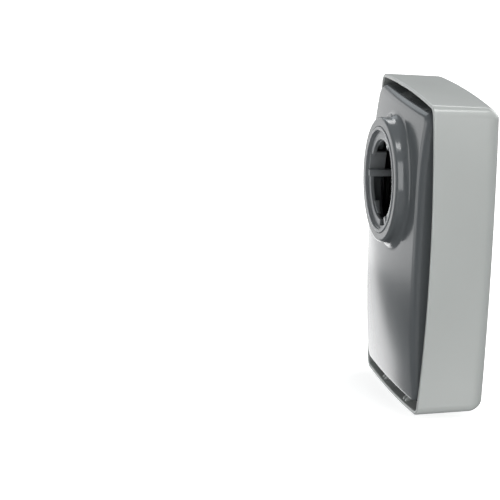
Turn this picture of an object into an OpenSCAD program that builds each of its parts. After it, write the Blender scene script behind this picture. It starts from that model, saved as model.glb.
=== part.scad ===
// Hard-case particulate filter cartridge with a three-lug bayonet port, for a
// half or full facepiece. All sizes are in millimetres.
//
// Each module is written in the cartridge's own lying frame: the origin is the
// centre of the port's seat, x runs along the case towards the port end, y runs
// across it, and z runs from the seat through the cartridge to the label face.
// upright() then stands the cartridge on its far end: x becomes +Z, y becomes
// -X and z becomes -Y.

/* [Case] */
// Length of the open rim, between its corners
case_length = 127.3; // [126.8:0.1:128.2]
// Width of the open rim, at its two ends
case_width = 77; // [76.6:0.1:77.6]
// How far each long side of the rim bows outwards at its middle
side_bow = 6.5; // [6:0.1:7]
// How far each end of the rim bows outwards at its middle
end_bow = 1.5; // [1:0.1:2]
// Height of the case from its rim to the edge of the label face
case_depth = 28.5; // [28:0.1:29.5]
// Wall thickness of the case
case_wall = 1.5; // [1.3:0.1:1.6]
// Radius of the rounded edge round the label face
front_fillet = 5.7; // [5:0.1:6]
// Radius of the case's corners in plan
corner_radius = 4; // [3.6:0.1:4.6]
// How far the label face crowns along its length
front_crown = 1.05; // [0.8:0.05:1.2]

/* [Rear housing] */
// Width of the housing between its straight sides
housing_width = 72.6; // [72:0.1:72.8]
// From the port's centre to the housing's port end
housing_reach_up = 34; // [33:0.5:34.5]
// From the port's centre to the housing's far end
housing_reach_down = 85; // [84:0.5:86]
// Wall thickness of the housing
housing_wall = 1.8; // [1.5:0.1:2]
// From the seat to the housing's open front edge
housing_front = 22; // [21.5:0.5:22.5]

/* [Port] */
// Distance between the port's centre and the middle of the case
port_offset = 26.2; // [25.5:0.1:27]
// Distance from the port's seat down to the plane of the case's rim
seat_height = 10.35; // [10:0.05:11]
// Outer radius of the collar round the port
collar_radius = 25.65; // [25.2:0.05:26]
// Outer radius of the bayonet ring, whose edge is the gasket's seat
ring_radius = 21.75; // [21.5:0.05:22]
// Inner radius of the bayonet ring's plain mouth
mouth_radius = 20.3; // [20.2:0.05:20.5]
// Inner radius of the bayonet ring's tube, behind the mouth
tube_radius = 19.9; // [19.7:0.05:19.95]
// Radius left free in the three notches that the mating lugs enter by
notch_radius = 18.8; // [18.6:0.05:19]
// Inner radius of the three flange segments that hold the mating lugs
lug_radius = 16.4; // [16.2:0.05:16.6]
// Thickness of the flange segments
flange_thickness = 1.6; // [1.4:0.1:1.8]

/* [Filter] */
// Number of folds in the filter medium
pleat_count = 33; // [28:1:36]
// Height of the pleated pack
pleat_height = 14; // [12:0.5:14]

/* [Label] */
// Length of the label
label_length = 72.5; // [70:0.5:74]
// Width of the label
label_width = 61; // [58:0.5:62]

/* [Hidden] */
$fn = 96;

// the case narrows and straightens from its rim to the label face
front_length = case_length - 2.4;
front_width = case_width - 0.4;
front_side_bow = -0.6;
front_end_bow = 1.1;
front_cross_crown = 0.3;
rim_arch = 0.4;
case_middle = -port_offset;
wall_fold = 0.4; // share of the case's depth where its wall has a ring of points
corner_steps = 5;
long_steps = 14;
end_steps = 8;
fillet_steps = 5;
face_rings = [0.35, 0.7]; // shares of the way from a face's middle to its edge

// the housing's back is crowned, highest beside the port
back_peak = 5.25;
back_peak_x = 2.3;
back_rise_up = 2.2;
back_rise_down = 3.4;
back_rise_power = 3.6;
back_shelf = 2.5;
back_cross_crown = 1.25;
back_rings = [0.3, 0.6, 0.85]; // shares of the way from the back's middle to its edge
housing_corner = 5;
shoulder_top = 3.2;
shoulder_side = 3;
shoulder_bottom = 1.4;
housing_length = housing_reach_up + housing_reach_down;
housing_middle = (housing_reach_up - housing_reach_down) / 2;

// the collar
collar_face = 0.3;
collar_round = 1.2;
collar_foot = 3;
collar_sink = 0.05; // how far the foot's edge dips into the housing's back
collar_root = 0.9;
collar_steps = 96;
collar_shelf = 2.4; // depth of the collar's bore, in front of its wider hollow
hollow_radius = 23.8;
ring_gap = 0.05;

// the bayonet ring, seen from the label side: angles run from +x towards +y
lug_count = 3;
mouth_depth = 0.8;
flange_recess = 1.2;
flange_start = -65;
flange_span = 90;
notch_start = -90;
notch_span = 24;
notch_wall_depth = 8;
tube_depth = 3;
stop_angle = -93;
stop_thickness = 2.8;
stop_reach = 16.2;
stop_depth = 10.4;
ramp_start = -40;
ramp_span = 25;
ramp_height = 1.4;
ramp_reach = 15.8;

// the filter stack inside the housing, from the port side to the label side
grid_back = 12.2;
grid_front = 14;
grid_rib = 1.6;
grid_border = 4;
grid_columns = 4;
grid_rows = 7;
grid_foot_radius = 1.8;
grid_foot_places = [-40, -8]; // from the housing's middle, clear of the port
fit_gap = 0.05;
seal_width = 2.6;
seal_bottom = 21.4;
strip_thickness = 1;
medium_thickness = 3.2;
medium_width = 61;
bead_width = 1.5;
bead_height = 0.5;
bead_count = 4;
bead_end_gap = 2;

// the locating ribs inside the case
rib_thickness = 1;
rib_pair_gap = 3;
rib_pair_place = 16;
rib_side_place = 30;
rib_ledge = 3.2;
rib_start = 1;
rib_step = 1.6;
rib_chamfer = 0.4;
rib_slope = 5;

// the label
label_thickness = 0.2;
label_middle = -33;
label_shift = 0.9;
label_radius = 5;
label_gap = 0.05;

function mix(a, b, t) = a + (b - a) * t;
function side_of(v) = v < 0 ? -1 : 1;
function square_of(v) = v * v;

// Outline of a rounded rectangle about the origin, as [x, y, normal x, normal y]
// points that run anticlockwise from the middle of the +x end's upper corner
function outline(half_x, half_y, radius) = [
    for (q = [0:3])
        let (turn = 90 * q,
             sx = q == 0 || q == 3 ? 1 : -1,
             sy = q < 2 ? 1 : -1,
             cx = sx * (half_x - radius),
             cy = sy * (half_y - radius),
             along_x = q % 2 == 0,
             steps = along_x ? long_steps : end_steps,
             run = along_x ? 2 * (half_x - radius) : 2 * (half_y - radius))
            each concat(
                [for (i = [0:corner_steps])
                    let (a = turn + 90 * i / corner_steps)
                        [cx + radius * cos(a), cy + radius * sin(a), cos(a), sin(a)]],
                [for (i = [1:steps - 1])
                    let (a = turn + 90, s = run * i / steps)
                        [cx + radius * cos(a) - s * sin(a), cy + radius * sin(a) + s * cos(a),
                         cos(a), sin(a)]])];

// Closed solid through a list of rings, capped by a point at each end
module loft(first_point, rings, last_point) {
    n = len(rings[0]);
    last = 1 + n * len(rings);
    points = concat([first_point], [for (r = rings) each r], [last_point]);
    cap_a = [for (i = [0:n - 1]) [0, 1 + (i + 1) % n, 1 + i]];
    cap_b = [for (i = [0:n - 1]) [last, last - n + i, last - n + (i + 1) % n]];
    walls = [for (k = [0:len(rings) - 2], i = [0:n - 1])
        let (a = 1 + k * n + i, b = 1 + k * n + (i + 1) % n)
            each [[a, b, a + n], [b, b + n, a + n]]];
    polyhedron(points, concat(cap_a, walls, cap_b), convexity = 8);
}

// Stands a module made in the lying frame upright in the row's frame
module upright() {
    rotate([90, 0, 0]) rotate([0, 0, 90]) children();
}

// Ring of the case at a depth below its rim, moved in by inset from the outer
// surface and shrunk towards the middle; drop lowers it from the label face
function case_ring(depth, inset, drop = 0, shrink = 1) =
    let (t = depth / case_depth,
         half_x = mix(case_length, front_length, t) / 2 - inset,
         half_y = mix(case_width, front_width, t) / 2 - inset,
         bow_x = mix(end_bow, front_end_bow, t),
         bow_y = mix(side_bow, front_side_bow, t),
         radius = max(0.6, corner_radius - inset))
        [for (p = outline(half_x, half_y, radius))
            let (x = (p.x + side_of(p.x) * bow_x * (1 - square_of(p.y / half_y))) * shrink,
                 y = (p.y + side_of(p.y) * bow_y * (1 - square_of(p.x / half_x))) * shrink)
                [case_middle + x, y, case_surface(depth, x, y) - drop]];

// Height of the case's surface at a depth, with its crown
function case_surface(depth, x, y) =
    let (t = depth / case_depth)
        seat_height + depth
        + mix(rim_arch, front_crown, t) * (1 - min(1, square_of(2 * x / case_length)))
        + front_cross_crown * t * (1 - min(1, square_of(2 * y / case_width)));

// Rings round the filleted edge of the label face, from the face to the wall
function edge_rings(radius, inset, drop) = [
    for (i = [0:fillet_steps])
        let (a = 90 * i / fillet_steps)
            case_ring(case_depth - radius * (1 - cos(a)) - drop, inset + radius * (1 - sin(a)))];

module case_shell() {
    inner_fillet = front_fillet - case_wall;
    outer = concat(
        [for (s = face_rings) case_ring(case_depth, front_fillet, 0, s)],
        edge_rings(front_fillet, 0, 0),
        [case_ring(case_depth * wall_fold, 0), case_ring(0, 0)]);
    inner = concat(
        [case_ring(0, case_wall), case_ring(case_depth * wall_fold, case_wall)],
        [for (i = [fillet_steps:-1:0]) edge_rings(inner_fillet, case_wall, case_wall)[i]],
        [for (i = [1, 0]) case_ring(case_depth, front_fillet, case_wall, face_rings[i])]);
    top = [case_middle, 0, case_surface(case_depth, 0, 0)];
    loft(top, concat(outer, inner), top - [0, 0, case_wall]);
}

// Distance from the case's middle plane to the middle of its wall, at a depth
// below the rim. The wall bows, so along is the place on it, from 0 to 1.
function end_wall(depth, along) =
    let (t = depth / case_depth)
        mix(case_length, front_length, t) / 2 - case_wall / 2
        + mix(end_bow, front_end_bow, t) * (1 - square_of(along));
function side_wall(depth, along) =
    let (t = depth / case_depth)
        mix(case_width, front_width, t) / 2 - case_wall / 2
        + mix(side_bow, front_side_bow, t) * (1 - square_of(along));

// One rib: a thin web rooted in the middle of the case's wall, with a ledge for
// the housing's front edge. reach is where the housing's own wall is; rim_root
// and low_root are where the case's wall is, at the rim and above the fillet.
module locating_rib(reach, rim_root, low_root) {
    rib_top = seat_height + rib_start;
    fillet_z = seat_height + case_depth - front_fillet;
    fillet_x = low_root + case_wall / 2 - front_fillet;
    web = front_fillet - case_wall / 2;
    face_z = fillet_z + web;
    translate([0, rib_thickness / 2, 0])
        rotate([90, 0, 0])
            linear_extrude(rib_thickness)
                polygon([[rim_root, rib_top], [rim_root - rib_step, rib_top + rib_chamfer],
                         [reach + fit_gap, rib_top + rib_slope], [reach + fit_gap, housing_front],
                         [reach - rib_ledge, housing_front], [reach - rib_ledge, face_z],
                         [fillet_x, face_z],
                         [fillet_x + web * cos(45), fillet_z + web * sin(45)],
                         [low_root, fillet_z]]);
}

module front_cover() {
    low = case_depth - front_fillet;
    end_along = 2 * rib_pair_place / case_width;
    side_along = 2 * rib_side_place / case_length;
    color([0.70, 0.72, 0.72]) upright() {
        case_shell();
        for (side = [-1, 1], place = [-1, 1], pair = [-0.5, 0.5]) {
            reach = side > 0 ? housing_reach_up - case_middle : housing_reach_down + case_middle;
            translate([case_middle, place * rib_pair_place + pair * rib_pair_gap, 0])
                mirror([side > 0 ? 0 : 1, 0, 0])
                    locating_rib(reach, end_wall(0, end_along), end_wall(low, end_along));
        }
        for (side = [-1, 1], place = [-1, 1])
            translate([case_middle + place * rib_side_place, 0, 0])
                rotate([0, 0, 90 * side])
                    locating_rib(housing_width / 2, side_wall(0, side_along),
                                 side_wall(low, side_along));
    }
}

// A ring of the label, raised above the case's surface and shrunk to its middle
function label_ring(raise, shrink) = [
    for (p = outline(label_length / 2, label_width / 2, label_radius))
        let (x = label_middle + p.x * shrink, y = label_shift + p.y * shrink)
            [x, y, case_surface(case_depth, x - case_middle, y) + raise]];

module label() {
    low = label_gap;
    high = label_gap + label_thickness;
    middle = label_ring(0, 0)[0];
    color([0.66, 0.46, 0.72]) upright()
        loft(middle + [0, 0, high],
             concat([for (s = face_rings) label_ring(high, s)],
                    [label_ring(high, 1), label_ring(low, 1)],
                    [for (i = [1, 0]) label_ring(low, face_rings[i])]),
             middle + [0, 0, low]);
}

// Height of the housing's crowned back over a point
function back_surface(x, y) =
    let (up = x > back_peak_x,
         along = up ? (x - back_peak_x) / (housing_reach_up - back_peak_x - back_shelf)
                    : (back_peak_x - x) / (housing_reach_down + back_peak_x),
         rise = up ? back_rise_up * square_of(along) : back_rise_down * pow(along, back_rise_power))
        back_peak + rise
        + back_cross_crown * square_of(2 * y / housing_width);

// Radius of the housing's shoulder, larger at the port end than at the far end
function shoulder(x) =
    x > housing_middle
        ? mix(shoulder_side, shoulder_top, square_of((x - housing_middle) / housing_length * 2))
        : mix(shoulder_side, shoulder_bottom, pow((housing_middle - x) / housing_length * 2, 6));

// Ring of the housing: turn is 0 at the wall and 90 on the crowned back
function shoulder_ring(turn, inset) = [
    for (p = outline(housing_length / 2, housing_width / 2, housing_corner))
        let (r = shoulder(housing_middle + p.x) - inset,
             pull = inset + r * (1 - cos(turn)),
             x = housing_middle + p.x - p[2] * pull,
             y = p.y - p[3] * pull)
            [x, y, back_surface(x, y) + inset + r * (1 - sin(turn))]];

// Ring on the back itself, shrunk towards the middle
function back_ring(inset, shrink) = [
    for (p = shoulder_ring(90, inset))
        let (x = housing_middle + (p.x - housing_middle) * shrink, y = p.y * shrink)
            [x, y, back_surface(x, y) + inset]];

function wall_ring(inset, z) = [
    for (p = outline(housing_length / 2, housing_width / 2, housing_corner))
        [housing_middle + p.x - p[2] * inset, p.y - p[3] * inset, z]];

module housing_shell() {
    outer = concat(
        [for (s = back_rings) back_ring(0, s)],
        [for (a = [90, 67.5, 45, 22.5, 0]) shoulder_ring(a, 0)],
        [wall_ring(0, housing_front)]);
    inner = concat(
        [wall_ring(housing_wall, housing_front)],
        [for (a = [0, 45, 90]) shoulder_ring(a, housing_wall)],
        [for (i = [2:-1:0]) back_ring(housing_wall, back_rings[i])]);
    middle = [housing_middle, 0, back_surface(housing_middle, 0)];
    loft_inward(middle, concat(outer, inner), middle + [0, 0, housing_wall]);
}

// The same as loft, for rings that start on the side facing away from +z
module loft_inward(first_point, rings, last_point) {
    turned = [for (r = rings) [for (i = [len(r) - 1:-1:0]) r[i]]];
    loft(first_point, turned, last_point);
}

// Section of the collar at an angle, from its inner wall round its face and side
// to a foot that follows the housing's back
function collar_section(angle) =
    let (inner = ring_radius - 1,
         edge = collar_radius + collar_foot,
         back = back_surface(edge * cos(angle), edge * sin(angle)) + collar_sink,
         section = concat(
             [[inner, back + collar_root], [inner, collar_face]],
             [for (a = [90:-15:0])
                 [collar_radius - collar_round + collar_round * cos(a),
                  collar_face + collar_round - collar_round * sin(a)]],
             [for (a = [180:-15:90])
                 [edge + collar_foot * cos(a), back - collar_foot + collar_foot * sin(a)]],
             [[edge, back + collar_root]]))
        [for (p = section) [p.x * cos(angle), p.x * sin(angle), p.y]];

// Closed solid through sections that stand round an axis
module loft_round(sections) {
    n = len(sections[0]);
    count = len(sections);
    walls = [for (k = [0:count - 1], i = [0:n - 1])
        let (a = k * n + i, b = k * n + (i + 1) % n,
             c = (k + 1) % count * n + i, d = (k + 1) % count * n + (i + 1) % n)
            each [[a, b, c], [b, d, c]]];
    polyhedron([for (s = sections) each s], walls, convexity = 8);
}

module rear_housing() {
    color([0.52, 0.55, 0.57]) upright()
        difference() {
            union() {
                housing_shell();
                loft_round([for (i = [0:collar_steps - 1]) collar_section(360 / collar_steps * i)]);
            }
            cylinder(h = 20, r = ring_radius + ring_gap);
            translate([0, 0, collar_shelf]) cylinder(h = 20, r = hollow_radius);
        }
}

// Part of a ring between two radii, over an angle
module ring_sector(inner, outer, start, span, low, high) {
    translate([0, 0, low])
        rotate([0, 0, start])
            rotate_extrude(angle = span)
                translate([inner, 0]) square([outer - inner, high - low]);
}

module bayonet_ring() {
    merge = 0.3;
    outer = tube_radius + merge;
    color([0.48, 0.51, 0.53]) upright() {
        difference() {
            cylinder(h = tube_depth, r = ring_radius);
            translate([0, 0, -1]) cylinder(h = mouth_depth + 1, r = mouth_radius);
            translate([0, 0, -1]) cylinder(h = tube_depth + 2, r = tube_radius);
        }
        for (i = [0:lug_count - 1]) rotate([0, 0, 360 / lug_count * i]) {
            ring_sector(lug_radius, outer, flange_start, flange_span,
                        flange_recess, flange_recess + flange_thickness);
            ring_sector(notch_radius, outer, notch_start, notch_span, flange_recess, notch_wall_depth);
            ring_sector(ramp_reach, outer, ramp_start, ramp_span,
                        flange_recess + flange_thickness / 2,
                        flange_recess + flange_thickness + ramp_height);
            rotate([0, 0, stop_angle])
                translate([stop_reach, -stop_thickness / 2, mouth_depth])
                    cube([outer - stop_reach, stop_thickness, stop_depth - mouth_depth]);
        }
    }
}

// Flat rounded rectangle inside the housing's walls, centred on the housing
module inner_plate(inset, low, high) {
    radius = max(0.6, housing_corner - inset);
    translate([housing_middle, 0, low])
        linear_extrude(high - low)
            polygon([for (p = outline(housing_length / 2 - inset, housing_width / 2 - inset, radius))
                [p.x, p.y]]);
}

module support_grid() {
    edge = housing_wall + fit_gap;
    window_x = (housing_length - 2 * (edge + grid_border) - (grid_rows - 1) * grid_rib) / grid_rows;
    window_y = (housing_width - 2 * (edge + grid_border) - (grid_columns - 1) * grid_rib) / grid_columns;
    color([0.60, 0.62, 0.62]) upright() {
        difference() {
            inner_plate(edge, grid_back, grid_front);
            for (i = [0:grid_rows - 1], j = [0:grid_columns - 1])
                translate([housing_middle + (i - grid_rows / 2) * (window_x + grid_rib) + grid_rib / 2,
                           (j - grid_columns / 2) * (window_y + grid_rib) + grid_rib / 2,
                           grid_back - 1])
                    cube([window_x, window_y, grid_front - grid_back + 2]);
        }
        for (place = grid_foot_places, side = [-1, 1]) {
            x = housing_middle + place;
            y = side * (window_y + grid_rib);
            foot = back_surface(x, y) + housing_wall + 2 * fit_gap;
            translate([x, y, foot])
                cylinder(h = (grid_back + grid_front) / 2 - foot, r = grid_foot_radius);
        }
    }
}

// Zigzag section of the folded medium, extruded across the cartridge
module filter_medium() {
    run = housing_length - 2 * (housing_wall + seal_width);
    half_pitch = run / pleat_count / 2;
    low = grid_front + medium_thickness / 2;
    high = grid_front + pleat_height - medium_thickness / 2;
    fold = [for (i = [0:2 * pleat_count]) [i * half_pitch - run / 2, i % 2 == 0 ? low : high]];
    upper = [for (p = fold) p + [0, medium_thickness / 2]];
    lower = [for (i = [len(fold) - 1:-1:0]) fold[i] - [0, medium_thickness / 2]];
    color([0.92, 0.92, 0.90]) upright()
        translate([housing_middle, medium_width / 2, 0])
            rotate([90, 0, 0]) linear_extrude(medium_width) polygon(concat(upper, lower));
}

module edge_strips() {
    run = housing_length - 2 * (housing_wall + seal_width);
    color([0.86, 0.86, 0.82]) upright()
        for (side = [-1, 1])
            translate([housing_middle - run / 2,
                       side * (medium_width + strip_thickness) / 2 - strip_thickness / 2, grid_front])
                cube([run, strip_thickness, pleat_height]);
}

module spacer_beads() {
    run = housing_length - 2 * (housing_wall + seal_width + bead_end_gap);
    color([0.95, 0.93, 0.84]) upright()
        for (i = [0:bead_count - 1])
            translate([housing_middle - run / 2,
                       (i - (bead_count - 1) / 2) * medium_width / bead_count - bead_width / 2,
                       grid_front + pleat_height])
                cube([run, bead_width, bead_height]);
}

module potting_seal() {
    inner = housing_wall + seal_width;
    strip_edge = medium_width + 2 * strip_thickness;
    color([0.85, 0.83, 0.74]) upright()
        difference() {
            inner_plate(housing_wall, grid_front, seal_bottom);
            translate([housing_middle - housing_length / 2 + inner, -strip_edge / 2, grid_front - 1])
                cube([housing_length - 2 * inner, strip_edge, seal_bottom]);
        }
}

front_cover();
label();
rear_housing();
bayonet_ring();
support_grid();
filter_medium();
edge_strips();
spacer_beads();
potting_seal();
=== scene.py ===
"""Looks of the particulate filter cartridge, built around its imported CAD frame.

Lengths are in millimetres in the cartridge's lying frame, as in the design: the
origin is the centre of the port's seat, x runs towards the port end, y across the
case and z from the seat to the label face. stand() turns points into the row's
frame, in metres.
"""

import math
import random

import bmesh
import bpy
import numpy as np
from mathutils import Euler, Matrix, Quaternion, Vector


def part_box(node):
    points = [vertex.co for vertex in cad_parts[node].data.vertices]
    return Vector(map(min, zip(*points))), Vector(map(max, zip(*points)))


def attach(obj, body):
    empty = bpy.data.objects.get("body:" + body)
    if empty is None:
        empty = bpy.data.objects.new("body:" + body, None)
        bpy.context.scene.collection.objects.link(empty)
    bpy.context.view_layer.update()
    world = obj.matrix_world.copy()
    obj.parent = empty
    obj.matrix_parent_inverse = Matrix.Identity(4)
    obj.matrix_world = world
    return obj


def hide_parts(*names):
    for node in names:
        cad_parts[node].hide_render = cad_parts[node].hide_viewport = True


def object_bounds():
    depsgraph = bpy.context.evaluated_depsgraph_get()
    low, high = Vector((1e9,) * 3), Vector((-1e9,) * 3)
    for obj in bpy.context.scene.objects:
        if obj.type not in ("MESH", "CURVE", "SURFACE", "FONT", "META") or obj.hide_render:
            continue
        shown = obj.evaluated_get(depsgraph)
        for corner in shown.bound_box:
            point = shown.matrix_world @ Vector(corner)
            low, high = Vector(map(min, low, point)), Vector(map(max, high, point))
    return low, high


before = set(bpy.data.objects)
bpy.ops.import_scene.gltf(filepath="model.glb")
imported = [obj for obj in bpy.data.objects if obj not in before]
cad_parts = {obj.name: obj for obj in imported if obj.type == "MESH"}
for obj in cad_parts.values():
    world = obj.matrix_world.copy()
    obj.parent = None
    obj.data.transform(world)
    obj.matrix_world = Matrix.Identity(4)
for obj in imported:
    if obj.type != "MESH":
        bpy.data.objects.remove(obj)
cad_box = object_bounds()

MM = 0.001

# ---------------------------------------------------------------- sizes

cover_low, cover_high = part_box("front_cover")
housing_low, housing_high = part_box("rear_housing")
ring_low, ring_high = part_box("bayonet_ring")
grid_low, grid_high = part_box("support_grid")
medium_low, medium_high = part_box("filter_medium")
potting_low, potting_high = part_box("potting_seal")
label_low, label_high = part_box("label")

# the case
END_BOW = 1.5
SIDE_BOW = 6.5
CASE_DEPTH = 28.5
CASE_WALL = 1.5
CORNER_RADIUS = 4.0
FRONT_FILLET = 5.7
FRONT_END_BOW = 1.1
FRONT_SIDE_BOW = -0.6
FRONT_CROWN = 1.05
FRONT_CROSS_CROWN = 0.3
RIM_ARCH = 0.4
RIM_ROUND = 0.45
seat_height = -cover_high.y / MM
case_middle = (cover_high.z + cover_low.z) / 2 / MM
case_length = (cover_high.z - cover_low.z) / MM - 2 * END_BOW
case_width = (cover_high.x - cover_low.x) / MM - 2 * SIDE_BOW
front_length = case_length - 2.4
front_width = case_width - 0.4

# the housing
HOUSING_CORNER = 5.0
HOUSING_WALL = 1.8
SHOULDER_TOP = 3.2
SHOULDER_SIDE = 3.0
SHOULDER_BOTTOM = 1.4
BACK_PEAK = 5.25
BACK_PEAK_X = 2.3
BACK_RISE_UP = 2.2
BACK_RISE_DOWN = 3.4
BACK_RISE_POWER = 3.6
BACK_SHELF = 2.5
BACK_CROSS_CROWN = 1.25
housing_width = (housing_high.x - housing_low.x) / MM
reach_up = housing_high.z / MM
reach_down = -housing_low.z / MM
housing_front = -housing_low.y / MM
housing_length = reach_up + reach_down
housing_middle = (reach_up - reach_down) / 2

# the collar and the bayonet ring
COLLAR_RADIUS = 25.65
COLLAR_ROUND = 1.2
COLLAR_FOOT = 3.0
COLLAR_SHELF = 2.4
HOLLOW_RADIUS = 23.8
RING_GAP = 0.05
MOUTH_RADIUS = 20.3
MOUTH_DEPTH = 0.8
TUBE_RADIUS = 19.9
TUBE_DEPTH = 3.0
LIP_ROUND = 0.35
NOTCH_RADIUS = 18.8
NOTCH_START = -90
NOTCH_SPAN = 24
NOTCH_DEPTH = 8.0
LUG_COUNT = 3
LUG_RADIUS = 16.4
FLANGE_START = -65
FLANGE_SPAN = 90
FLANGE_RECESS = 1.2
FLANGE_THICKNESS = 1.6
RAMP_START = -40
RAMP_SPAN = 25
RAMP_HEIGHT = 1.4
RAMP_REACH = 15.8
RAMP_LOW = 0.5
RAMP_EDGE = 0.25
FLANGE_EDGE = 0.35
NOTCH_EDGE = 0.2
STOP_ANGLE = -93
STOP_THICKNESS = 2.8
STOP_REACH = 16.2
STOP_EDGE = 0.3
MERGE = 0.3
ring_radius = ring_high.x / MM
collar_face = -housing_high.y / MM
stop_depth = -ring_low.y / MM

# the label
LABEL_RADIUS = 5.0
LABEL_GAP = 0.05
LABEL_THICKNESS = 0.2
label_length = (label_high.z - label_low.z) / MM
label_width = (label_high.x - label_low.x) / MM
label_middle = (label_high.z + label_low.z) / 2 / MM
label_shift = -(label_high.x + label_low.x) / 2 / MM

# points round an outline, a turned ring, a post and the rounding of an edge
CORNER_STEPS = 14
LONG_STEPS = 64
END_STEPS = 40
TURNED_STEPS = 240
POST_STEPS = 32
EDGE_STEPS = 5

# angles in degrees over which an edge is bevelled or shaded sharp
BEVEL_ANGLE = 35
SHARP_ANGLE = 35


# ---------------------------------------------------------------- mesh helpers


def mix(a, b, share):
    return a + (b - a) * share


def stand(points):
    """Lying-frame millimetres as row-frame metres."""
    points = np.asarray(points, float)
    return np.column_stack([-points[:, 1], -points[:, 2], points[:, 0]]) * MM


def arc_degrees(start, end, steps):
    """steps + 1 angles in radians, from start to end in degrees."""
    return [math.radians(mix(start, end, i / steps)) for i in range(steps + 1)]


def outline(half_x, half_y, radius):
    """Points and outward normals of a rounded rectangle about the origin, anticlockwise."""
    points, normals = [], []
    for quarter in range(4):
        turn = math.pi / 2 * quarter
        sign_x = 1 if quarter in (0, 3) else -1
        sign_y = 1 if quarter < 2 else -1
        centre = np.array([sign_x * (half_x - radius), sign_y * (half_y - radius)])
        for step in range(CORNER_STEPS + 1):
            angle = turn + math.pi / 2 * step / CORNER_STEPS
            normal = np.array([math.cos(angle), math.sin(angle)])
            points.append(centre + radius * normal)
            normals.append(normal)
        along_x = quarter % 2 == 0
        steps = LONG_STEPS if along_x else END_STEPS
        run = 2 * ((half_x if along_x else half_y) - radius)
        tangent = np.array([-normal[1], normal[0]])
        for step in range(1, steps):
            points.append(centre + radius * normal + tangent * run * step / steps)
            normals.append(normal)
    return np.array(points), np.array(normals)


def make_object(name, points, faces, sharp=SHARP_ANGLE):
    """Object from lying-frame points, smooth except where faces meet at over sharp degrees."""
    mesh = bpy.data.meshes.new(name)
    mesh.from_pydata(stand(points).tolist(), [], faces)
    work = bmesh.new()
    work.from_mesh(mesh)
    bmesh.ops.recalc_face_normals(work, faces=work.faces)
    work.to_mesh(mesh)
    work.free()
    piece = bpy.data.objects.new(name, mesh)
    bpy.context.scene.collection.objects.link(piece)
    smooth(piece, sharp)
    return piece


def smooth(piece, sharp):
    piece.data.polygons.foreach_set("use_smooth", [True] * len(piece.data.polygons))
    piece.data.set_sharp_from_angle(angle=math.radians(sharp))


def loft_faces(ring_size, ring_count, closed):
    """Quads between neighbouring rings, and from the last ring to the first if closed."""
    faces = []
    for k in range(ring_count if closed else ring_count - 1):
        this, following = k * ring_size, (k + 1) % ring_count * ring_size
        for i in range(ring_size):
            j = (i + 1) % ring_size
            faces.append((this + i, this + j, following + j, following + i))
    return faces


def loft(name, rings, closed=False, sharp=SHARP_ANGLE):
    """Piece through rings of equal size, capped by a fan at each end unless it is closed."""
    size, count = len(rings[0]), len(rings)
    points = np.vstack(rings)
    faces = loft_faces(size, count, closed)
    if not closed:
        first, last = size * count, size * count + 1
        points = np.vstack([points, rings[0].mean(axis=0), rings[-1].mean(axis=0)])
        for i in range(size):
            j = (i + 1) % size
            faces.append((first, j, i))
            faces.append((last, (count - 1) * size + i, (count - 1) * size + j))
    return make_object(name, points, faces, sharp)


def applied(piece):
    """Puts the result of a piece's modifiers into its mesh."""
    graph = bpy.context.evaluated_depsgraph_get()
    result = bpy.data.meshes.new_from_object(piece.evaluated_get(graph))
    piece.modifiers.clear()
    piece.data = result
    return piece


def bevel(piece, width, segments=3):
    modifier = piece.modifiers.new("bevel", "BEVEL")
    modifier.width = width * MM
    modifier.segments = segments
    modifier.limit_method = "ANGLE"
    modifier.angle_limit = math.radians(BEVEL_ANGLE)
    return applied(piece)


def united(piece, others):
    """piece with the other closed solids joined on; the others are removed.

    The solver's own limits suit metres, so the meshes are millimetres while it works.
    """
    for solid in (piece, *others):
        solid.data.transform(Matrix.Scale(1 / MM, 4))
    for other in others:
        modifier = piece.modifiers.new("union", "BOOLEAN")
        modifier.operation = "UNION"
        modifier.solver = "MANIFOLD"
        modifier.object = other
    applied(piece)
    piece.data.transform(Matrix.Scale(MM, 4))
    for other in others:
        bpy.data.objects.remove(other)
    return piece


def block(name, low, high, edge=0.0):
    """Box between two corners with rounded edges."""
    sides = list(zip(low, high))
    corners = [(x, y, z) for x in sides[0] for y in sides[1] for z in sides[2]]
    faces = [(0, 1, 3, 2), (4, 6, 7, 5), (0, 4, 5, 1), (2, 3, 7, 6), (0, 2, 6, 4), (1, 5, 7, 3)]
    piece = make_object(name, corners, faces)
    return bevel(piece, edge) if edge else piece


# ---------------------------------------------------------------- the case


def case_height(depth, x, y):
    """Height of the case's surface at a depth below its rim; x and y from its middle."""
    share = depth / CASE_DEPTH
    along = 1 - np.minimum(1, (2 * x / case_length) ** 2)
    across = 1 - np.minimum(1, (2 * y / case_width) ** 2)
    return (seat_height + depth + mix(RIM_ARCH, FRONT_CROWN, share) * along
            + FRONT_CROSS_CROWN * share * across)


def case_ring(depth, inset=0.0, drop=0.0, shrink=1.0):
    share = depth / CASE_DEPTH
    half_x = mix(case_length, front_length, share) / 2 - inset
    half_y = mix(case_width, front_width, share) / 2 - inset
    bow_x = mix(END_BOW, FRONT_END_BOW, share)
    bow_y = mix(SIDE_BOW, FRONT_SIDE_BOW, share)
    points, _ = outline(half_x, half_y, max(0.6, CORNER_RADIUS - inset))
    px, py = points[:, 0], points[:, 1]
    x = (px + np.sign(px) * bow_x * (1 - (py / half_y) ** 2)) * shrink
    y = (py + np.sign(py) * bow_y * (1 - (px / half_x) ** 2)) * shrink
    return np.column_stack([case_middle + x, y, case_height(depth, x, y) - drop])


def fillet_rings(radius, inset, drop, steps):
    """Rings round the edge of the label face, from the face to the wall."""
    return [case_ring(CASE_DEPTH - radius * (1 - math.cos(a)) - drop, inset + radius * (1 - math.sin(a)))
            for a in arc_degrees(0, 90, steps)]


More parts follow.
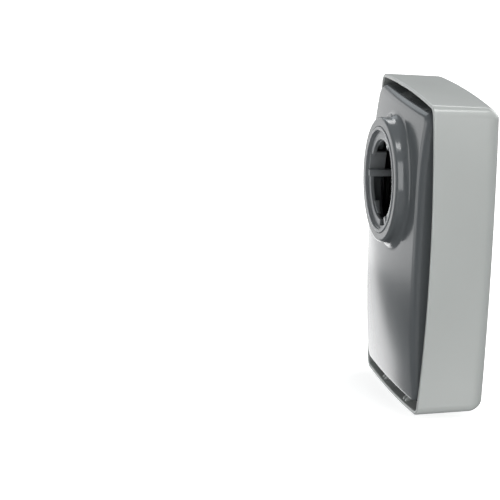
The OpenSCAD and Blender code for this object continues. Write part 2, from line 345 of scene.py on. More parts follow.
def rim_rings():
    """Rings over the rounded open rim, from the outer wall to the inner one."""
    outer = [case_ring(RIM_ROUND * (1 - math.sin(a)), RIM_ROUND * (1 - math.cos(a)))
             for a in arc_degrees(0, 90, 5)]
    inner = [case_ring(RIM_ROUND * (1 - math.sin(a)), CASE_WALL - RIM_ROUND * (1 - math.cos(a)))
             for a in arc_degrees(90, 0, 5)]
    return outer + inner


def end_wall(depth, along):
    share = depth / CASE_DEPTH
    return (mix(case_length, front_length, share) / 2 - CASE_WALL / 2
            + mix(END_BOW, FRONT_END_BOW, share) * (1 - along ** 2))


def side_wall(depth, along):
    share = depth / CASE_DEPTH
    return (mix(case_width, front_width, share) / 2 - CASE_WALL / 2
            + mix(SIDE_BOW, FRONT_SIDE_BOW, share) * (1 - along ** 2))


# the ribs that place the housing in the case
RIB_THICKNESS = 1.0
RIB_PAIR_GAP = 3.0
RIB_PAIR_PLACE = 16.0
RIB_SIDE_PLACE = 30.0
RIB_LEDGE = 3.2
RIB_START = 1.0
RIB_STEP = 1.6
RIB_CHAMFER = 0.4
RIB_SLOPE = 5.0
RIB_EDGE = 0.15
FIT_GAP = 0.05


def locating_rib(reach, rim_root, low_root, turn, place):
    """Thin web from the case's wall to the housing's, with a ledge under the housing's edge."""
    top = seat_height + RIB_START
    web = FRONT_FILLET - CASE_WALL / 2
    fillet_x = low_root + CASE_WALL / 2 - FRONT_FILLET
    fillet_z = seat_height + CASE_DEPTH - FRONT_FILLET
    slant = web * math.cos(math.pi / 4)
    section = [(rim_root, top), (rim_root - RIB_STEP, top + RIB_CHAMFER),
               (reach + FIT_GAP, top + RIB_SLOPE), (reach + FIT_GAP, housing_front),
               (reach - RIB_LEDGE, housing_front), (reach - RIB_LEDGE, fillet_z + web),
               (fillet_x, fillet_z + web), (fillet_x + slant, fillet_z + slant), (low_root, fillet_z)]
    count = len(section)
    points = [(r, place + side * RIB_THICKNESS / 2, z) for side in (-1, 1) for r, z in section]
    faces = [tuple(range(count)), tuple(range(2 * count - 1, count - 1, -1))]
    faces += [(i, i + count, (i + 1) % count + count, (i + 1) % count) for i in range(count)]
    cosine, sine = math.cos(turn), math.sin(turn)
    turned = [(case_middle + x * cosine - y * sine, x * sine + y * cosine, z) for x, y, z in points]
    return bevel(make_object("rib", turned, faces), RIB_EDGE, 2)


def make_front_cover():
    fillet_inner = FRONT_FILLET - CASE_WALL
    wall_end = CASE_DEPTH - FRONT_FILLET
    outer = [case_ring(CASE_DEPTH, FRONT_FILLET, 0, s) for s in np.linspace(0.04, 0.98, 16)]
    outer += fillet_rings(FRONT_FILLET, 0, 0, 18)
    outer += [case_ring(mix(wall_end, RIM_ROUND, s)) for s in np.linspace(0.02, 0.98, 12)]
    inner = [case_ring(mix(RIM_ROUND, wall_end, s), CASE_WALL) for s in np.linspace(0.02, 0.98, 10)]
    inner += fillet_rings(fillet_inner, CASE_WALL, CASE_WALL, 8)[::-1]
    inner += [case_ring(CASE_DEPTH, FRONT_FILLET, CASE_WALL, s) for s in np.linspace(0.97, 0.04, 12)]
    cover = loft("front_cover_moulding", outer + rim_rings() + inner)
    ribs = []
    end_along = 2 * RIB_PAIR_PLACE / case_width
    side_along = 2 * RIB_SIDE_PLACE / case_length
    for side in (-1, 1):
        reach = reach_up - case_middle if side > 0 else reach_down + case_middle
        turn = 0 if side > 0 else math.pi
        for place in (-RIB_PAIR_PLACE, RIB_PAIR_PLACE):
            for pair in (-0.5, 0.5):
                ribs.append(locating_rib(reach, end_wall(0, end_along), end_wall(wall_end, end_along),
                                         turn, place + pair * RIB_PAIR_GAP))
        for place in (-RIB_SIDE_PLACE, RIB_SIDE_PLACE):
            ribs.append(locating_rib(housing_width / 2, side_wall(0, side_along),
                                     side_wall(wall_end, side_along), side * math.pi / 2, place))
    united(cover, ribs)
    smooth(cover, SHARP_ANGLE)
    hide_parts("front_cover")
    return cover


# ---------------------------------------------------------------- the label


def label_surface(x, y, raise_by):
    return case_height(CASE_DEPTH, x - case_middle, y) + raise_by


def label_ring(shrink, inset, raise_by):
    points, _ = outline(label_length / 2 - inset, label_width / 2 - inset, LABEL_RADIUS - inset)
    x, y = label_middle + points[:, 0] * shrink, label_shift + points[:, 1] * shrink
    return np.column_stack([x, y, label_surface(x, y, raise_by)])


def make_label():
    top = LABEL_GAP + LABEL_THICKNESS
    edge = LABEL_THICKNESS / 3
    rings = [label_ring(s, edge, top) for s in np.linspace(0.05, 1, 14)]
    rings += [label_ring(1, 0, top - edge), label_ring(1, 0, LABEL_GAP)]
    rings += [label_ring(s, 0, LABEL_GAP) for s in np.linspace(0.98, 0.05, 8)]
    film = loft("label_film", rings)
    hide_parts("label")
    return film


PRINT_RAISE = 0.02
PRINT_STEP = 5.0


class Print:
    """Collects flat printed shapes; u runs right and v down from the label's corner."""

    def __init__(self):
        self.points, self.faces, self.inks = [], [], []

    def ribbon(self, pairs, ink):
        """Thin solid through pairs of (u, v) points, one on each long edge."""
        start = len(self.points)
        bottom = LABEL_GAP + LABEL_THICKNESS / 2
        top = LABEL_GAP + LABEL_THICKNESS + PRINT_RAISE
        for one, other in pairs:
            for (u, v), raise_by in zip((one, other, other, one), (bottom, bottom, top, top)):
                x = label_middle + label_length / 2 - v
                y = label_shift + label_width / 2 - u
                self.points.append((x, y, float(label_surface(x, y, raise_by))))
        last = start + 4 * (len(pairs) - 1)
        faces = [tuple(start + k for k in (0, 1, 2, 3)), tuple(last + k for k in (3, 2, 1, 0))]
        for a in range(start, last, 4):
            faces += [(a + k, a + 4 + k, a + 4 + (k + 1) % 4, a + (k + 1) % 4) for k in range(4)]
        self.faces += faces
        self.inks += [ink] * len(faces)

    def bar(self, u, v, width, height, ink, slant=0.0):
        """Bar with enough pairs to follow the label's crown."""
        steps = max(1, math.ceil(width / PRINT_STEP))
        pairs = []
        for i in range(steps + 1):
            along = u + width * i / steps
            pairs.append(((along + slant, v), (along, v + height)))
        self.ribbon(pairs, ink)

    def words(self, u, v, width, height, ink, rng, shortest, longest):
        """A row of short bars, as long as the row, with a gap after each."""
        end = u + width
        gap = height * 0.7
        while u < end - shortest:
            length = min(rng.uniform(shortest, longest), end - u)
            self.bar(u, v, length, height, ink)
            u += length + gap


DARK, PURPLE = 0, 1


def print_airflow_mark(ink):
    """Dashed frame round three arrows that pass a folded sheet."""
    left, top, width, height = 4.3, 33.5, 19.8, 22.0
    dash, line = 0.95, 0.55
    for i in range(int(width / dash / 2) + 1):
        for v in (top, top + height):
            ink.bar(left + 2 * i * dash, v, dash, line, DARK)
    for i in range(int(height / dash / 2) + 1):
        for u in (left, left + width):
            ink.bar(u, top + 2 * i * dash, line, dash, DARK)
    folds, fold_width, fold_height, stroke = 5, 2.6, 2.8, 0.8
    middle = top + height * 0.55
    first = left + (width + line - folds * fold_width) / 2
    zigzag = [(first + i * fold_width / 2, middle - i % 2 * fold_height) for i in range(2 * folds + 1)]
    ink.ribbon([((u, v), (u, v + stroke)) for u, v in zigzag], DARK)
    shaft, head, arrow_gap = 0.9, 1.5, 4.6
    tip, shoulder_line, head_foot = middle - 10.4, middle - 7.8, middle - 7.7
    for i in range(3):
        u = left + (width + line) / 2 + (i - 1) * arrow_gap
        ink.bar(u - shaft / 2, middle + 2.2, shaft, 4.4, DARK)
        ink.bar(u - shaft / 2, middle - 8.0, shaft, 4.0, DARK)
        ink.ribbon([((u - head, shoulder_line), (u - head, head_foot)), ((u, tip), (u, head_foot)),
                    ((u + head, shoulder_line), (u + head, head_foot))], DARK)


def make_label_print():
    """Generic printing: bars for words, a plain mark and an airflow mark."""
    rng = random.Random(7)
    ink = Print()
    for i in range(3):
        ink.bar(4.6 + i * 4.6, 5.0, 3.3, 7.4, DARK, slant=1.0)
    ink.bar(4.6, 16.4, 17.8, 5.2, DARK)
    ink.bar(4.6, 23.4, 12.6, 2.2, DARK)
    ink.words(34.2, 5.6, 19.2, 5.4, DARK, rng, 4.5, 7.5)
    for row in range(4):
        ink.words(27.8, 13.9 + 4.3 * row, (24.0, 30.4, 30.4, 29.6)[row], 2.1, PURPLE, rng, 3.0, 8.5)
    for row in range(11):
        width = 25.0 if row in (8, 10) else rng.uniform(28.5, 30.0)
        ink.words(27.8, 34.0 + 2.52 * row, width, 1.15, PURPLE, rng, 1.6, 5.0)
    ink.words(4.3, 63.0, 43.0, 1.1, PURPLE, rng, 2.0, 7.0)
    ink.words(4.3, 65.8, 16.0, 1.1, PURPLE, rng, 2.0, 6.0)
    ink.words(38.6, 66.3, 19.4, 1.1, PURPLE, rng, 5.0, 9.0)
    print_airflow_mark(ink)
    piece = make_object("label_printing", ink.points, ink.faces)
    return piece, ink.inks


# ---------------------------------------------------------------- the rear housing


def back_height(x, y):
    """Height of the housing's crowned back."""
    up = np.maximum(0, x - BACK_PEAK_X) / (reach_up - BACK_PEAK_X - BACK_SHELF)
    down = np.maximum(0, BACK_PEAK_X - x) / (reach_down + BACK_PEAK_X)
    return (BACK_PEAK + BACK_RISE_UP * up ** 2 + BACK_RISE_DOWN * down ** BACK_RISE_POWER
            + BACK_CROSS_CROWN * (2 * y / housing_width) ** 2)


def shoulder(x):
    """Radius of the housing's shoulder, larger at the port end than at the far end."""
    share = (x - housing_middle) / housing_length * 2
    upper = mix(SHOULDER_SIDE, SHOULDER_TOP, np.maximum(0, share) ** 2)
    return upper + (SHOULDER_BOTTOM - SHOULDER_SIDE) * np.maximum(0, -share) ** 6


def housing_outline():
    points, normals = outline(housing_length / 2, housing_width / 2, HOUSING_CORNER)
    return points[:, 0] + housing_middle, points[:, 1], normals


def shoulder_ring(turn, inset):
    """turn is 0 at the wall and a quarter turn on the back."""
    x, y, normals = housing_outline()
    radius = shoulder(x) - inset
    pull = inset + radius * (1 - math.cos(turn))
    x, y = x - normals[:, 0] * pull, y - normals[:, 1] * pull
    return np.column_stack([x, y, back_height(x, y) + inset + radius * (1 - math.sin(turn))])


def wall_ring(inset, z):
    x, y, normals = housing_outline()
    return np.column_stack([x - normals[:, 0] * inset, y - normals[:, 1] * inset, np.full(len(x), z)])


def round_the_port(edge_ring, radius, height):
    """A circle round the port whose points face those of edge_ring."""
    angle = np.arctan2(edge_ring[:, 1], edge_ring[:, 0])
    x, y = radius * np.cos(angle), radius * np.sin(angle)
    z = height(x, y) if callable(height) else np.full(len(x), height)
    return np.column_stack([x, y, z])


def collar_rings(edge_ring):
    """From the collar's hollow over its face and side, and down its fillet to the back."""
    bore = ring_radius + RING_GAP
    bore_edge = 0.2
    rings = [round_the_port(edge_ring, HOLLOW_RADIUS, COLLAR_SHELF)]
    rings += [round_the_port(edge_ring, bore, z) for z in (COLLAR_SHELF, collar_face + bore_edge)]
    rings += [round_the_port(edge_ring, bore + bore_edge, collar_face)]
    flat_end = COLLAR_RADIUS - COLLAR_ROUND
    rings += [round_the_port(edge_ring, mix(bore + bore_edge, flat_end, s), collar_face)
              for s in (0.1, 0.5, 0.92)]
    rings += [round_the_port(edge_ring, flat_end + COLLAR_ROUND * math.cos(a),
                             collar_face + COLLAR_ROUND * (1 - math.sin(a)))
              for a in arc_degrees(90, 0, 10)]
    for a in arc_degrees(0, 90, 10):
        radius = COLLAR_RADIUS + COLLAR_FOOT * (1 - math.cos(a))
        foot = COLLAR_FOOT * (1 - math.sin(a))
        rings.append(round_the_port(edge_ring, radius, lambda x, y: back_height(x, y) - foot))
    return rings


def back_rings(inner_radius, edge_ring, lift, shares):
    """Rings on the back between a circle round the port and its edge."""
    start = round_the_port(edge_ring, inner_radius, 0.0)
    rings = []
    for share in shares:
        x = mix(start[:, 0], edge_ring[:, 0], share)
        y = mix(start[:, 1], edge_ring[:, 1], share)
        rings.append(np.column_stack([x, y, back_height(x, y) + lift]))
    return rings


def make_rear_housing():
    edge = shoulder_ring(math.pi / 2, 0)
    inner_edge = shoulder_ring(math.pi / 2, HOUSING_WALL)
    front_round = 0.3
    rings = collar_rings(edge)
    rings += back_rings(COLLAR_RADIUS + COLLAR_FOOT, edge, 0, np.linspace(0, 1, 26)[1:-1] ** 1.25)
    rings += [shoulder_ring(a, 0) for a in arc_degrees(90, 0, 14)]
    wall_top = float(shoulder_ring(0, 0)[:, 2].max()) + 0.4
    rings += [wall_ring(0, mix(wall_top, housing_front - front_round, s)) for s in (0, 0.3, 0.6, 0.95)]
    rings += [wall_ring(front_round * (1 - math.cos(a)), housing_front - front_round * (1 - math.sin(a)))
              for a in arc_degrees(0, 90, 4)]
    rings += [wall_ring(HOUSING_WALL - front_round * (1 - math.cos(a)),
                        housing_front - front_round * (1 - math.sin(a)))
              for a in arc_degrees(90, 0, 4)]
    rings += [wall_ring(HOUSING_WALL, mix(housing_front - front_round, wall_top, s))
              for s in (0.05, 0.5, 1)]
    rings += [shoulder_ring(a, HOUSING_WALL) for a in arc_degrees(0, 90, 6)]
    rings += back_rings(HOLLOW_RADIUS, inner_edge, HOUSING_WALL, np.linspace(1, 0, 14)[1:])
    housing = loft("rear_housing_moulding", rings, closed=True)
    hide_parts("rear_housing")
    return housing


# ---------------------------------------------------------------- the bayonet ring


def turned_rings(profile, x, y, steps):
    """A circle about (x, y) for each (radius, z) point of a profile."""
    angle = np.linspace(0, 2 * math.pi, steps, endpoint=False)
    return [np.column_stack([x + r * np.cos(angle), y + r * np.sin(angle), np.full(steps, z)])
            for r, z in profile]


def rounded_edge(radius, z, round_by, start, end):
    """Profile points round an edge whose rounding is centred on (radius, z)."""
    return [(radius + round_by * math.cos(a), z + round_by * math.sin(a))
            for a in arc_degrees(start, end, EDGE_STEPS)]


def sector(inner, outer, start, span, low, high, edge, low_start=None):
    """Part of a ring between two radii, with rounded edges; low_start makes it a wedge."""
    steps = max(4, round(span / 3))
    points = []
    for i in range(steps + 1):
        angle = math.radians(start + span * i / steps)
        top = mix(low_start, high, i / steps) if low_start is not None else high
        for radius, z in ((inner, low), (outer, low), (outer, top), (inner, top)):
            points.append((radius * math.cos(angle), radius * math.sin(angle), z))
    faces = [(0, 1, 2, 3), tuple(4 * steps + k for k in (3, 2, 1, 0))]
    for i in range(steps):
        for k in range(4):
            m = (k + 1) % 4
            faces.append((4 * i + k, 4 * i + m, 4 * i + 4 + m, 4 * i + 4 + k))
    return bevel(make_object("sector", points, faces), edge)


def stop_rib(angle, outer, edge):
    """Radial rib that ends the mating lug's turn."""
    piece = block("stop", (STOP_REACH, -STOP_THICKNESS / 2, MOUTH_DEPTH),
                  (outer, STOP_THICKNESS / 2, stop_depth), edge)
    turned = math.radians(angle)
    for vertex in piece.data.vertices:
        x, y = vertex.co.z, -vertex.co.x
        vertex.co.z = x * math.cos(turned) - y * math.sin(turned)
        vertex.co.x = -(x * math.sin(turned) + y * math.cos(turned))
    return piece


def make_bayonet_ring():
    outer = TUBE_RADIUS + MERGE
    profile = [(ring_radius, TUBE_DEPTH)]
    profile += rounded_edge(ring_radius - LIP_ROUND, LIP_ROUND, LIP_ROUND, 0, -90)
    profile += rounded_edge(MOUTH_RADIUS + LIP_ROUND, LIP_ROUND, LIP_ROUND, -90, -180)
    profile += [(MOUTH_RADIUS, MOUTH_DEPTH), (TUBE_RADIUS, MOUTH_DEPTH + 0.1), (TUBE_RADIUS, TUBE_DEPTH)]
    rings = turned_rings(profile, 0, 0, TURNED_STEPS)
    ring = loft("bayonet_ring_moulding", rings, closed=True)
    flange_back = FLANGE_RECESS + FLANGE_THICKNESS
    parts = []
    for i in range(LUG_COUNT):
        turn = 360 / LUG_COUNT * i
        parts.append(sector(LUG_RADIUS, outer, turn + FLANGE_START, FLANGE_SPAN,
                            FLANGE_RECESS, flange_back, FLANGE_EDGE))
        parts.append(sector(NOTCH_RADIUS, outer, turn + NOTCH_START, NOTCH_SPAN,
                            FLANGE_RECESS, NOTCH_DEPTH, NOTCH_EDGE))
        parts.append(sector(RAMP_REACH, outer, turn + RAMP_START, RAMP_SPAN,
                            FLANGE_RECESS + FLANGE_THICKNESS / 2, flange_back + RAMP_HEIGHT,
                            RAMP_EDGE, flange_back + RAMP_LOW))
        parts.append(stop_rib(turn + STOP_ANGLE, outer, STOP_EDGE))
    united(ring, parts)
    smooth(ring, 40)
    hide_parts("bayonet_ring")
    return ring


# ---------------------------------------------------------------- the filter stack

GRID_FRONT = 14.0
GRID_THICKNESS = 1.8
GRID_RIB = 1.6
GRID_BORDER = 4.0
GRID_COLUMNS = 4
GRID_ROWS = 7
GRID_FOOT_RADIUS = 1.8
GRID_FOOT_EDGE = 0.3
GRID_FOOT_PLACES = (-40, -8)
GRID_EDGE = 0.25


def grid_lines(length, count):
    """Edges of the border, windows and ribs along one side, from its middle."""
    window = (length - 2 * GRID_BORDER - (count - 1) * GRID_RIB) / count
    lines = [-length / 2]
    for i in range(count):
        low = -length / 2 + GRID_BORDER + i * (window + GRID_RIB)
        lines += [low, low + window]
    return lines + [length / 2], window


def make_support_grid():
    length = (grid_high.z - grid_low.z) / MM
    width = (grid_high.x - grid_low.x) / MM
    lines_x, _ = grid_lines(length, GRID_ROWS)
    lines_y, window_y = grid_lines(width, GRID_COLUMNS)
    points, faces = [], []
    for z in (GRID_FRONT, GRID_FRONT - GRID_THICKNESS):
        points += [(housing_middle + x, y, z) for x in lines_x for y in lines_y]
    columns, layer = len(lines_y), len(lines_x) * len(lines_y)
    solid = {(i, j) for i in range(len(lines_x) - 1) for j in range(columns - 1)
             if not (i % 2 and j % 2)}
    for i, j in solid:
        a, d = i * columns + j, i * columns + j + 1
        b, c = a + columns, d + columns
        faces += [(a, b, c, d), (a + layer, d + layer, c + layer, b + layer)]
        neighbours = {(0, -1): (a, b), (1, 0): (b, c), (0, 1): (c, d), (-1, 0): (d, a)}
        for (di, dj), (p, q) in neighbours.items():
            if (i + di, j + dj) not in solid:
                faces.append((p, p + layer, q + layer, q))
    grid = bevel(make_object("support_grid_moulding", points, faces), GRID_EDGE, 2)
    feet = []
    for place in GRID_FOOT_PLACES:
        for side in (-1, 1):
            x, y = housing_middle + place, side * (window_y + GRID_RIB)
            foot = float(back_height(x, y)) + HOUSING_WALL + 2 * FIT_GAP
            feet.append(post(x, y, foot, GRID_FRONT - GRID_THICKNESS / 2))
    united(grid, feet)
    smooth(grid, SHARP_ANGLE)
    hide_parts("support_grid")
    return grid


def post(x, y, low, high):
    """Round foot of the grid with a rounded free end at low."""
    flat = GRID_FOOT_RADIUS - GRID_FOOT_EDGE
    profile = [(flat, low)]
    profile += rounded_edge(flat, low + GRID_FOOT_EDGE, GRID_FOOT_EDGE, -75, 0)
    profile += [(GRID_FOOT_RADIUS, high)]
    return loft("post", turned_rings(profile, x, y, POST_STEPS))


# the folded sheet, in MEDIUM_ACROSS lengths across the pack, and its strips and beads
PLEAT_COUNT = 33
FOLD_STEPS = 8
MEDIUM_THICKNESS = 0.45
MEDIUM_ACROSS = 20
MEDIUM_SWAY = 0.12
STRIP_THICKNESS = 1.0
STRIP_RIB = 0.12
STRIP_EDGE = 0.25
BEAD_COUNT = 4
BEAD_WIDTH = 1.5
BEAD_STEPS = 150
SEAL_HOLLOW = 0.8


def pleat_line(length, height):
    """Centre line of the folded sheet: straight flanks and round folds."""
    pitch = length / PLEAT_COUNT
    radius = pitch / 4
    points = []
    for i in range(PLEAT_COUNT):
        left = -length / 2 + i * pitch + radius
        for a in arc_degrees(180, 0, FOLD_STEPS):
            points.append((left + radius + radius * math.cos(a), height - radius + radius * math.sin(a)))
        if i < PLEAT_COUNT - 1:
            for a in arc_degrees(180, 360, FOLD_STEPS):
                points.append((left + 3 * radius + radius * math.cos(a), radius + radius * math.sin(a)))
    first, last = points[0], points[-1]
    return np.array([(first[0], radius)] + points + [(last[0], radius)])


def make_filter_medium():
    length = (medium_high.z - medium_low.z) / MM
    width = (medium_high.x - medium_low.x) / MM
    height = (medium_high.y - medium_low.y) / MM
    line = pleat_line(length - MEDIUM_THICKNESS, height - MEDIUM_THICKNESS)
    ahead, behind = np.roll(line, -1, axis=0), np.roll(line, 1, axis=0)
    ahead[-1], behind[0] = line[-1], line[0]
    tangent = ahead - behind
    tangent /= np.linalg.norm(tangent, axis=1)[:, None]
    normal = np.column_stack([-tangent[:, 1], tangent[:, 0]]) * MEDIUM_THICKNESS / 2
    section = np.vstack([line + normal, (line - normal)[::-1]])
    rings = []
    for i in range(MEDIUM_ACROSS + 1):
        y = mix(-width / 2, width / 2, i / MEDIUM_ACROSS)
        sway = MEDIUM_SWAY * np.sin(y * 0.31 + section[:, 0] * 0.9) * np.sin(math.pi * i / MEDIUM_ACROSS)
        rings.append(np.column_stack([housing_middle + section[:, 0] + sway, np.full(len(section), y),
                                      GRID_FRONT + MEDIUM_THICKNESS / 2 + section[:, 1]]))
    size, count = len(section), len(rings)
    faces = loft_faces(size, count, False)
    half = size // 2
    for ring in (0, count - 1):
        for i in range(half - 1):
            a, b = ring * size + i, ring * size + i + 1
            c, d = ring * size + size - 2 - i, ring * size + size - 1 - i
            faces.append((a, b, c, d) if ring else (d, c, b, a))
    medium = make_object("filter_medium_folded", np.vstack(rings), faces, 50)
    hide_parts("filter_medium")
    return medium


def make_edge_strips():
    """One strip at each side of the pack, ribbed where the folds press on it."""
    low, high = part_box("edge_strips")
    z_low, z_high = -high.y / MM, -low.y / MM
    steps = PLEAT_COUNT * FOLD_STEPS
    strips = []
    for side, name in ((-1, "edge_strip_near"), (1, "edge_strip_far")):
        outer = side * high.x / MM
        inner = outer - side * STRIP_THICKNESS
        rings = []
        for i in range(steps + 1):
            x = mix(low.z, high.z, i / steps) / MM
            face = outer - side * STRIP_RIB * (0.5 + 0.5 * math.cos(2 * math.pi * i / FOLD_STEPS))
            rounded = face - side * STRIP_EDGE
            rings.append(np.array([(x, inner, z_low), (x, rounded, z_low), (x, face, z_low + STRIP_EDGE),
                                   (x, face, z_high - STRIP_EDGE), (x, rounded, z_high),
                                   (x, inner, z_high)]))
        strips.append(loft(name, rings, sharp=50))
    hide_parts("edge_strips")
    return strips


def make_spacer_beads():
    """Rounded beads across the folds, a little wider where they cross each fold."""
    low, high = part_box("spacer_beads")
    base, top = -high.y / MM, -low.y / MM
    spread = ((high.x - low.x) / MM - BEAD_WIDTH) / (BEAD_COUNT - 1)
    beads = []
    for i in range(BEAD_COUNT):
        middle = (i - (BEAD_COUNT - 1) / 2) * spread
        rings = []
        for k in range(BEAD_STEPS + 1):
            x = mix(low.z, high.z, k / BEAD_STEPS) / MM
            end = min(1, math.sqrt(max(0.02, min(k, BEAD_STEPS - k) / 4)))
            wave = 0.86 + 0.14 * math.cos(2 * math.pi * k / BEAD_STEPS * PLEAT_COUNT)
            half = BEAD_WIDTH / 2 * end * wave
            rise = (top - base) * end * wave
            rings.append(np.array([(x, middle + half * math.cos(a), base + rise * max(0, math.sin(a)))
                                   for a in arc_degrees(0, 180, 10)]))
        beads.append(loft(f"spacer_bead_{i + 1}", rings, sharp=60))
    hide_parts("spacer_beads")
    return beads


def make_potting_seal():
    """Cast rim between the pack and the housing, hollowed where it wetted both walls."""
    outer_x = (potting_high.z - potting_low.z) / MM / 2
    outer_y = (potting_high.x - potting_low.x) / MM / 2
    strip_low, strip_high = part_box("edge_strips")
    inner_x = (strip_high.z - strip_low.z) / MM / 2
    inner_y = (strip_high.x - strip_low.x) / MM / 2
    low, high = -potting_high.y / MM, -potting_low.y / MM
    outer, _ = outline(outer_x, outer_y, HOUSING_CORNER - HOUSING_WALL)
    inner, _ = outline(inner_x, inner_y, 0.3)
    rings = []
    for share in np.linspace(0, 1, 9):
        points = mix(inner, outer, share)
        z = high - SEAL_HOLLOW * math.sin(math.pi * share) ** 0.7
        rings.append(np.column_stack([points + [housing_middle, 0], np.full(len(points), z)]))
    for share in (1, 0):
        points = mix(inner, outer, share)
        rings.append(np.column_stack([points + [housing_middle, 0], np.full(len(points), low)]))
    potting = loft("potting_seal_cast", rings, closed=True, sharp=50)
    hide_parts("potting_seal")
    return potting


# ---------------------------------------------------------------- materials


def linear(colour):
    """An sRGB colour of 0 to 255 as the linear values that shaders use."""
    return tuple(((c / 255 + 0.055) / 1.055) ** 2.4 if c > 10 else c / 255 / 12.92 for c in colour)


class Look:
    """A material with its Principled shader and a short way to add nodes."""

    def __init__(self, name):
        self.material = bpy.data.materials.new(name)
        self.material.use_nodes = True
        self.tree = self.material.node_tree
        self.shader = self.tree.nodes["Principled BSDF"]
        self.place = self.add("ShaderNodeTexCoord").outputs["Object"]

    def add(self, kind, **settings):
        node = self.tree.nodes.new(kind)
        for key, value in settings.items():
            setattr(node, key, value)
        return node

    def link(self, source, target):
        self.tree.links.new(source, target)

    def noise(self, scale, detail=3.0, stretch=(1, 1, 1)):
        """Noise whose scale is in features per metre."""
        mapping = self.add("ShaderNodeMapping")
        mapping.inputs["Scale"].default_value = stretch
        self.link(self.place, mapping.inputs["Vector"])
        texture = self.add("ShaderNodeTexNoise")
        texture.inputs["Scale"].default_value = scale
        texture.inputs["Detail"].default_value = detail
        self.link(mapping.outputs["Vector"], texture.inputs["Vector"])
        return texture.outputs["Fac"]

    def spread(self, source, low, high):
        """source, which lies about 0.3 to 0.7, spread from low to high."""
        node = self.add("ShaderNodeMapRange")
        node.inputs["From Min"].default_value = 0.3
        node.inputs["From Max"].default_value = 0.7
        node.inputs["To Min"].default_value = low
        node.inputs["To Max"].default_value = high
        self.link(source, node.inputs["Value"])
        return node.outputs["Result"]

    def shade(self, colour, source, change):
        """colour, lighter and darker by change with source, as the base colour."""
        node = self.add("ShaderNodeMix", data_type="RGBA")
        base = linear(colour)
        node.inputs["A"].default_value = (*[c * (1 - change) for c in base], 1)
        node.inputs["B"].default_value = (*[min(1, c * (1 + change)) for c in base], 1)
        self.link(self.spread(source, 0, 1), node.inputs["Factor"])
        self.link(node.outputs["Result"], self.shader.inputs["Base Color"])

    def rough(self, source, low, high):
        self.link(self.spread(source, low, high), self.shader.inputs["Roughness"])

    def bump(self, sources, strength, height):
        """Bump from several (source, weight) pairs; height is in millimetres."""
        total = None
        for source, weight in sources:
            scaled = self.add("ShaderNodeMath", operation="MULTIPLY")
            scaled.inputs[1].default_value = weight
            self.link(source, scaled.inputs[0])
            if total is None:
                total = scaled.outputs[0]
                continue
            added = self.add("ShaderNodeMath", operation="ADD")
            self.link(total, added.inputs[0])
            self.link(scaled.outputs[0], added.inputs[1])
            total = added.outputs[0]
        node = self.add("ShaderNodeBump")
        node.inputs["Strength"].default_value = strength
        node.inputs["Distance"].default_value = height * MM
        self.link(total, node.inputs["Height"])
        self.link(node.outputs["Normal"], self.shader.inputs["Normal"])


def plastic(name, colour, roughness, grain, strength):
    """Moulded plastic with a fine grain; grain is its size in millimetres.

    roughness is a pair, the least and the most.
    """
    look = Look(name)
    broad = look.noise(22, 2)
    fine = look.noise(1 / (grain * MM), 4)
    flow = look.noise(500, 2, (1, 1, 0.06))
    look.shade(colour, broad, 0.02)
    look.rough(broad, *roughness)
    look.bump([(fine, 1.0), (flow, 0.3)], strength, 0.01)
    return look.material


def printed_film(name, colour):
    look = Look(name)
    fibre = look.noise(2600, 4)
    look.shade(colour, look.noise(60, 3), 0.03)
    look.rough(fibre, 0.38, 0.5)
    look.bump([(fibre, 1.0)], 0.15, 0.01)
    return look.material


def folded_paper(name, colour):
    look = Look(name)
    fibre = look.noise(3500, 5, (1, 0.3, 1))
    look.shade(colour, fibre, 0.15)
    look.rough(fibre, 0.85, 0.95)
    look.bump([(fibre, 1.0)], 0.6, 0.05)
    look.shader.inputs["Sheen Weight"].default_value = 0.2
    return look.material


def cast_resin(name, colour, roughness):
    look = Look(name)
    ripple = look.noise(180, 3)
    look.shade(colour, look.noise(90, 3), 0.08)
    look.rough(ripple, roughness, roughness + 0.12)
    look.bump([(ripple, 1.0)], 0.3, 0.15)
    return look.material


def paint(piece, *materials):
    piece.data.materials.clear()
    for material in materials:
        piece.data.materials.append(material)


# ---------------------------------------------------------------- making the pieces

case_plastic = plastic("case_plastic", (200, 203, 200), (0.21, 0.25), 0.35, 0.08)
housing_plastic = plastic("housing_plastic", (106, 110, 112), (0.15, 0.18), 0.5, 0.04)
ring_plastic = plastic("ring_plastic", (140, 143, 145), (0.24, 0.28), 0.4, 0.06)
grid_plastic = plastic("grid_plastic", (42, 42, 42), (0.45, 0.6), 0.3, 0.2)

cover = make_front_cover()
paint(cover, case_plastic)
housing = make_rear_housing()
paint(housing, housing_plastic)
ring = make_bayonet_ring()
paint(ring, ring_plastic)
film = make_label()
paint(film, printed_film("label_purple", (165, 112, 182)))
printing, inks = make_label_print()
paint(printing, printed_film("label_ink_dark", (48, 36, 54)),
      printed_film("label_ink_purple", (118, 66, 150)))
grid = make_support_grid()
paint(grid, grid_plastic)
medium = make_filter_medium()
paint(medium, folded_paper("medium_paper", (60, 60, 58)))
strips = make_edge_strips()
strip_cloth = folded_paper("strip_cloth", (72, 72, 70))
beads = make_spacer_beads()
hot_melt = cast_resin("hot_melt", (150, 142, 120), 0.25)
potting = make_potting_seal()
paint(potting, cast_resin("potting_resin", (120, 116, 104), 0.3))
for strip in strips:
    paint(strip, strip_cloth)
for bead in beads:
    paint(bead, hot_melt)
for polygon, ink in zip(printing.data.polygons, inks):
    polygon.material_index = ink

for piece in (cover, housing, ring, film, printing, grid, medium, potting, *strips, *beads):
    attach(piece, "root")

# ---------------------------------------------------------------- floor, light and camera

FLOOR_SIZE = 7.0
FLOOR_GLOW = 0.75
AMBIENT = 0.22
COOL = (0.93, 0.97, 1.0)
LIGHT_TARGET = (0, -0.02, -0.03)
CAMERA_PLACE = (-1.09715, 0.30941, 0.24316)
CAMERA_TURN = (76.4096, -2.3698, -102.6027)
CAMERA_LENS = 204.864


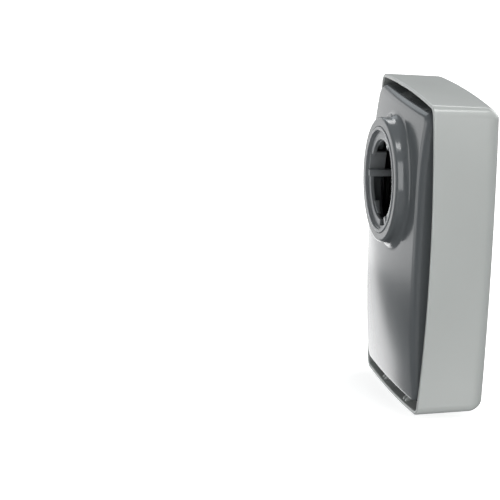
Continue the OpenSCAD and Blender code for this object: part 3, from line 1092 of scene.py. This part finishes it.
def make_floor():
    """Pale floor that stays out of the object's own light and reflections."""
    mesh = bpy.data.meshes.new("floor")
    half, level = FLOOR_SIZE / 2, cad_box[0].z
    corners = [(-half, -half, level), (half, -half, level), (half, half, level), (-half, half, level)]
    mesh.from_pydata(corners, [], [(0, 1, 2, 3)])
    floor = bpy.data.objects.new("floor", mesh)
    bpy.context.scene.collection.objects.link(floor)
    look = Look("floor_paper")
    look.shade((240, 240, 238), look.noise(3, 2), 0.01)
    look.shader.inputs["Roughness"].default_value = 0.9
    look.shader.inputs["Emission Color"].default_value = (1, 1, 1, 1)
    look.shader.inputs["Emission Strength"].default_value = FLOOR_GLOW
    paint(floor, look.material)
    floor.visible_diffuse = False
    floor.visible_glossy = False


def area_light(name, place, size, power, colour=(1, 1, 1), roll=0.0):
    """Rectangular lamp that faces LIGHT_TARGET, rolled about its own axis by some degrees."""
    data = bpy.data.lights.new(name, "AREA")
    data.shape = "RECTANGLE"
    data.size, data.size_y = size
    data.energy = power
    data.color = colour
    light = bpy.data.objects.new(name, data)
    light.location = place
    aim = (Vector(LIGHT_TARGET) - Vector(place)).to_track_quat("-Z", "Y")
    light.rotation_euler = (aim @ Quaternion((0, 0, 1), math.radians(roll))).to_euler()
    light.visible_camera = False
    bpy.context.scene.collection.objects.link(light)
    return light


def soft_light(*settings):
    """Lamp that lights the object but shows in no reflection."""
    area_light(*settings).visible_glossy = False


def glow(*settings, roll=0.0):
    """Lamp that shows only in reflections."""
    area_light(*settings, roll=roll).visible_diffuse = False


def make_lights():
    world = bpy.data.worlds.new("studio")
    world.use_nodes = True
    background = world.node_tree.nodes["Background"]
    background.inputs["Color"].default_value = (*COOL, 1)
    background.inputs["Strength"].default_value = AMBIENT
    bpy.context.scene.world = world
    soft_light("key", (-1.5, -0.05, -0.6), (2.0, 1.6), 48)
    soft_light("overhead", (-0.3, -0.3, 1.5), (0.6, 0.8), 12)
    area_light("back_box", (1.35, 0.0, 0.6), (0.8, 0.4), 0.9, (0.9, 0.96, 1.0))
    area_light("label_fill", (0.9, -1.4, 0.6), (1.4, 1.2), 12)
    area_light("port_fill", (0.5, 1.6, 0.1), (1.2, 1.2), 8)
    glow("far_glow", (1.12, 0.5, -0.04), (1.1, 0.64), 2.5)
    glow("table_glow", (1.3, -0.07, -0.6), (0.8, 0.48), 2.4, roll=38)
    glow("side_glow", (-1.45, -0.2, 0.5), (0.5, 1.4), 9)
    glow("collar_glow", (1.17, -0.3, 0.89), (0.6, 0.35), 2.5)
    glow("corner_glow", (-0.33, -0.42, 1.42), (0.5, 0.3), 4)


def make_camera():
    data = bpy.data.cameras.new("camera")
    data.sensor_width = 36
    data.lens = CAMERA_LENS
    camera = bpy.data.objects.new("camera", data)
    camera.location = CAMERA_PLACE
    camera.rotation_euler = Euler([math.radians(angle) for angle in CAMERA_TURN])
    bpy.context.scene.collection.objects.link(camera)
    bpy.context.scene.camera = camera


make_floor()
make_lights()
make_camera()
bpy.context.scene.view_settings.view_transform = "Standard"
